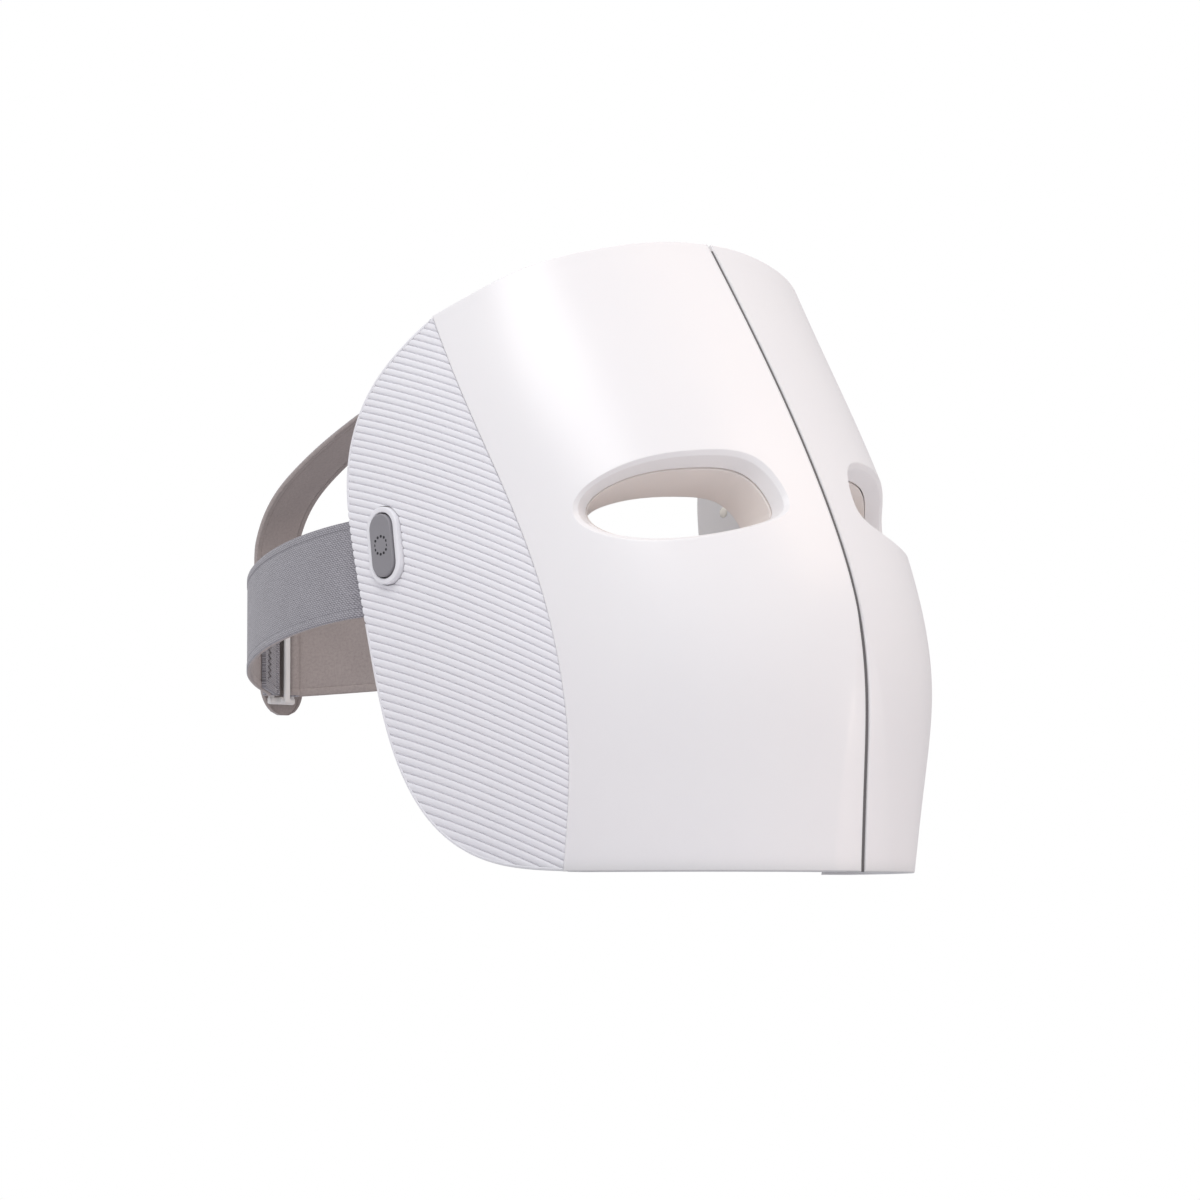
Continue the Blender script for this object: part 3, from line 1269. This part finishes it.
def cushion(alongs, heights, steps=96):
    """A crowned cushion with a flat welded edge, between two shares along and two heights."""
    turns = full_turn(steps)
    across, up = np.cos(turns), np.sin(turns)
    size = np.abs(across) ** pad_corner_power + np.abs(up) ** pad_corner_power
    across, up = across / size ** (1 / pad_corner_power), up / size ** (1 / pad_corner_power)
    seat = liner_depth + liner_wall + pad_seat_gap
    height = pad_thickness + face_gap - pad_seat_gap
    rings = []
    for reach, rise in (
        (0.02, 0), (0.5, 0), (0.985, 0), (1, 0.04), (1, 0.13), (0.985, 0.18), (0.93, 0.21),
        (0.89, 0.2), (0.87, 0.24), (0.86, 0.36), (0.84, 0.5), (0.79, 0.66), (0.7, 0.81),
        (0.55, 0.92), (0.35, 0.98), (0.18, 0.995), (0.02, 1),
    ):
        along = np.mean(alongs) + (alongs[1] - alongs[0]) / 2 * across * reach
        z = np.mean(heights) + (heights[1] - heights[0]) / 2 * up * reach
        rings.append(below(along, z, seat + height * rise))
    return loft(rings)


pad_foam = moulded_abs("soft_grey_silicone_foam", "#b4b0b0", "#aaa6a6", 0.6, 0.7, 0.05)
forehead_heights = (skin_height * 0.83, skin_height * 0.905)
cheek_heights = (skin_height * 0.1, skin_height * 0.19)
cheek_cushion = cushion((0.24, 0.46), cheek_heights)
for name, shape, node in (
    ("cushion_forehead", cushion((-0.26, 0.26), forehead_heights), "forehead_pad"),
    ("cushion_cheek_left", cheek_cushion, "cheek_pad_left"),
    ("cushion_cheek_right", mirrored(cheek_cushion), "cheek_pad_right"),
):
    new_piece(name, [shape], pad_foam, [node])

# The lenses and the screws
# Small clear domes moulded on the liner's face side, about 12 mm apart, one over each lamp, and
# eight nickel-plated pan-head screws with cross recesses that hold the shells and the panels.
lens_pitch, lens_radius, lens_rise, lens_sunk = 12, 1.9, 0.8, 0.15
lens_margin, screw_margin, forehead_margin, cheek_margin = 8, 7, 5, 6
forehead_clear_share, cheek_clear_shares = 0.3, (0.2, 0.5)
cup_half_along, cup_half_height = eye_half_along * 1.27, eye_half_height * 1.62


def lens_places(samples=600, steps_across=400):
    """Rows of places on the liner, clear of its edges, the cups, the pads, the screws and the bar
    of the crown strap."""
    face_depth = liner_depth + liner_wall
    screws = below(screw_along, screw_z, face_depth)
    places, facings, row_pitch = [], [], lens_pitch * 0.9
    edge_y, edge_z = rear_edge(np.linspace(0, 1, samples))
    inwards = np.linspace(1, 0, 60)
    top = skin_height * top_edge_share(inwards)
    for row, z in enumerate(np.arange(lens_margin, skin_height * 0.95, row_pitch)):
        if z < corner_z - lens_margin:
            last = along_at(1, edge_y[np.argmin(np.abs(edge_z - z))] - lens_margin, z)
        else:
            last = np.interp(z + lens_margin, top, inwards)
        fine = np.linspace(0, last, steps_across)
        run = below(fine, z, face_depth)
        gone = run_lengths(run)
        steps = np.arange(0.5 if row % 2 else 0.0, gone[-1] / lens_pitch, 1) * lens_pitch
        for along in np.interp(steps, gone, fine):
            across, up = (along - eye_along) / cup_half_along, (z - eye_z) / cup_half_height
            in_cup = abs(across) ** 3 + abs(up) ** 3 < 1
            in_forehead = along < forehead_clear_share and z > forehead_heights[0] - forehead_margin
            in_cheek = cheek_clear_shares[0] < along < cheek_clear_shares[1] and (
                cheek_heights[0] - cheek_margin < z < cheek_heights[1] + cheek_margin
            )
            for side in (1, -1) if along > 0.001 else (1,):
                point = below(side * along, z, face_depth - lens_sunk)
                near_screw = np.linalg.norm(screws - point, axis=1).min() < screw_margin
                if not (in_cup or in_forehead or in_cheek or near_screw):
                    places.append(point)
                    facings.append(point - below(side * along, z, 0))
    return places, facings


def domed_lens():
    """A tree that sets one flattened ball at each place."""
    inputs = {"Geometry": "Geometry", "Radius": "Float", "Height": "Float"}
    tree, given = new_tree("domed_lens", {**inputs, "Finish": "Material"})
    sizes = {"Segments": 14, "Rings": 7, "Radius": given["Radius"]}
    ball = add_node(tree, "GeometryNodeMeshUVSphere", sizes)
    flat = maths(tree, "DIVIDE", given["Height"], given["Radius"])
    squash = add_node(tree, "ShaderNodeCombineXYZ", {"X": 1.0, "Y": 1.0, "Z": flat})
    pressed = {"Geometry": ball, "Scale": squash}
    return set_on_places(tree, given, add_node(tree, "GeometryNodeTransform", pressed))


def cross_recess_screw():
    """A tree that sets one tapered screw head with a cross recess at each place."""
    lengths = ("Radius", "Height", "Recess length", "Recess width")
    inputs = {"Geometry": "Geometry", **dict.fromkeys(lengths, "Float"), "Finish": "Material"}
    tree, given = new_tree("cross_recess_screw", inputs)
    crown = maths(tree, "MULTIPLY", given["Radius"], screw_head_taper)
    sizes = {"Radius Top": crown, "Radius Bottom": given["Radius"], "Depth": given["Height"]}
    head = add_node(tree, "GeometryNodeMeshCone", {"Vertices": 24, **sizes})
    lift = add_node(tree, "ShaderNodeCombineXYZ", {"Z": given["Height"]})
    cut = add_node(tree, "GeometryNodeMeshBoolean", {"Mesh 1": head}, operation="DIFFERENCE")
    for long_side, short_side in (("X", "Y"), ("Y", "X")):
        sides = {long_side: given["Recess length"], short_side: given["Recess width"]}
        size = add_node(tree, "ShaderNodeCombineXYZ", {**sides, "Z": given["Height"]})
        cube = add_node(tree, "GeometryNodeMeshCube", {"Size": size})
        lifted = {"Geometry": cube, "Translation": lift}
        fill(tree, cut, {"Mesh 2": add_node(tree, "GeometryNodeTransform", lifted)})
    return set_on_places(tree, given, cut)


lens_plastic = plain_finish("clear_domed_lens", "#f6f1e6", 0.12, IOR=1.5, Coat_Weight=0.6)
lens_sizes = {"Radius": lens_radius * mm, "Height": lens_rise * mm, "Finish": lens_plastic}
lenses = on_points("lamp_lenses", domed_lens(), *lens_places(), lens_sizes)
lenses.data.shade_smooth()
settle(lenses)

steel = plain_finish("nickel_plated_steel", "#b9bbbe", 0.3, Metallic=1.0)
seat = liner_depth + liner_wall - screw_seat_depth + clearance
seats = below(screw_along, screw_z, seat)
facings = below(screw_along, screw_z, 1) - below(screw_along, screw_z, 0)
screw_sizes = {
    "Radius": screw_head_radius * mm, "Height": screw_head_height * mm,
    "Recess length": 3.0 * mm, "Recess width": 0.75 * mm, "Finish": steel,
}
screws = on_points("pan_head_screws", cross_recess_screw(), seats, facings, screw_sizes)
screws.data.set_sharp_from_angle(angle=math.radians(30))
screw_places = ("forehead", "chin", "temple", "jaw")
screw_nodes = [f"{place}_screw_{side}" for place in screw_places for side in ("left", "right")]
settle(screws, screw_nodes)

# The chin plate, port and insides
# The white chin plate closes the lower edge round the steel shell of the charging port, with its
# black tongue. The boards, motors and cell behind the liner keep their plain shapes.
port_low, port_high = (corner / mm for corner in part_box("charge_socket"))
port_middle = (port_low + port_high) / 2
tongue_size, tongue_rise, tongue_rounding = (6.4, 0.8, 5.6), 3.2, 0.2
tongue_middle = (port_middle.x, port_middle.y, port_low.z + tongue_rise)
tongue = soft_box(tongue_middle, tongue_size, tongue_rounding)
tongue_black = plain_finish("black_nylon_tongue", "#2b2b2d", 0.45)
new_piece("port_tongue", [tongue], tongue_black)
board_mask = moulded_abs("green_solder_mask", "#2f5d46", "#28523d", 0.45)
cell_film = plain_finish("blue_cell_wrap", "#3a4a63", 0.4)
light_boards = [f"{place}_light_board" for place in ("forehead", "cheek")]
motors = [f"{place}_motor" for place in ("forehead", "cheek")]
for finish, single, paired in (
    (panel_abs, ("chin_plate", "crown_anchor"), ("strap_anchor",)),
    (board_mask, ("control_board",), ("switch", *light_boards)),
    (steel, ("charge_socket",), motors),
    (cell_film, ("battery",), ()),
):
    for node in (*single, *(f"{name}_{side}" for name in paired for side in ("left", "right"))):
        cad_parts[node].data.materials.clear()
        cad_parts[node].data.materials.append(finish)
